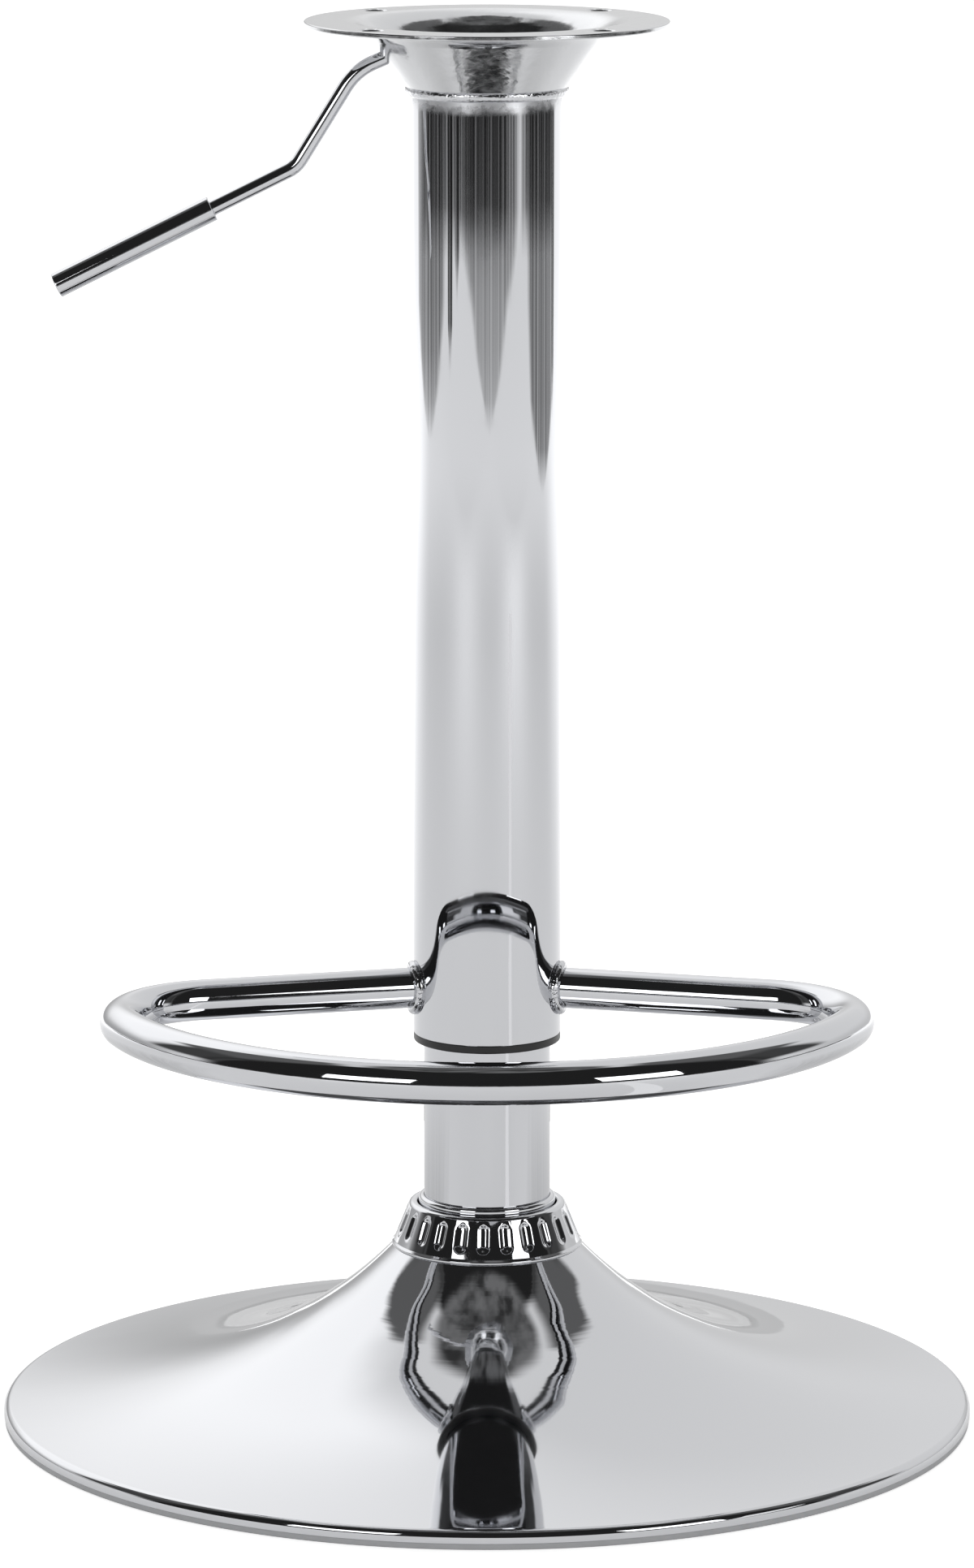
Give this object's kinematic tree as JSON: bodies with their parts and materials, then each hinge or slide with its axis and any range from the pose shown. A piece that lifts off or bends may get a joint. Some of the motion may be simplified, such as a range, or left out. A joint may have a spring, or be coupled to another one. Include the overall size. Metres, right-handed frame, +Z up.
{
  "type": "bar stool base",
  "caption": "Height-adjustable bar stool base: chromed trumpet foot, gas-lift column, foot hoop, release lever and dished plate that the seat bolts to.",
  "frame": {"origin": "on the column's axis, on the floor, with the column at its lowest", "axes": "+Z up along the column, -Y towards the front of the foot hoop, -X towards the release lever"},
  "size_m": [0.385, 0.385, 0.555],
  "materials": {
    "chrome": "polished chrome plate on steel",
    "dish_chrome": "chrome plate, polished outside and grained in the dish",
    "black_plastic": "moulded black plastic",
    "grey_plastic": "moulded grey plastic, slightly soft",
    "bush_plastic": "moulded acetal",
    "raw_steel": "plain steel",
    "bearing_steel": "ground bearing steel",
    "rod_chrome": "ground hard chrome",
    "black_steel": "black painted steel",
    "aluminium": "turned aluminium",
    "rubber": "moulded rubber"
  },
  "bodies": {
    "stand": {"base_shell": "chrome", "floor_ring": "grey_plastic", "ballast_plate": "raw_steel", "base_socket": "chrome", "socket_weld": "raw_steel", "collar_ring": "chrome", "stand_tube": "chrome", "bottom_cap": "raw_steel", "guide_bush": "bush_plastic", "lower_race": "bearing_steel"},
    "ball_set": {"bearing_balls": "bearing_steel", "ball_cage": "bush_plastic"},
    "rod": {"upper_race": "bearing_steel", "piston_rod": "rod_chrome", "retaining_clip": "raw_steel", "bump_washer": "rubber", "piston": "aluminium"},
    "column": {"pressure_tube": "black_steel", "rod_guide": "aluminium", "valve_housing": "aluminium", "column_tube": "chrome", "column_ring": "black_plastic", "column_weld": "chrome", "taper_socket": "raw_steel", "top_plate": "dish_chrome", "foot_hoop": "chrome", "hoop_welds": "chrome", "lever_bracket": "raw_steel", "pivot_pin": "raw_steel"},
    "lever": {"lever_rod": "chrome", "lever_grip": "chrome", "grip_plug": "black_plastic"},
    "valve": {"valve_pin": "bearing_steel"}
  },
  "joints": [
    {"name": "swivel", "type": "hinge", "parent": "stand", "child": "rod", "pos_m": [0, 0, 0.0215], "axis": [0, 0, 1], "continuous": true},
    {"name": "cage_roll", "type": "hinge", "parent": "stand", "child": "ball_set", "pos_m": [0, 0, 0.02], "axis": [0, 0, 1], "continuous": true},
    {"name": "column_lift", "type": "slide", "parent": "rod", "child": "column", "axis": [0, 0, 1], "range_m": [0, 0.21]},
    {"name": "lever_tilt", "type": "hinge", "parent": "column", "child": "lever", "pos_m": [-0.027, 0, 0.54589], "axis": [0, 1, 0], "range_deg": [0, 6]},
    {"name": "valve_press", "type": "slide", "parent": "column", "child": "valve", "axis": [0, 0, 1], "range_m": [-0.003, 0], "stiffness_N_per_m": 2000}
  ],
  "couplings": [
    {"joint": "cage_roll", "follows": "swivel", "ratio": 0.5},
    {"joint": "valve_press", "follows": "lever_tilt", "m_per_rad": -0.027}
  ]
}
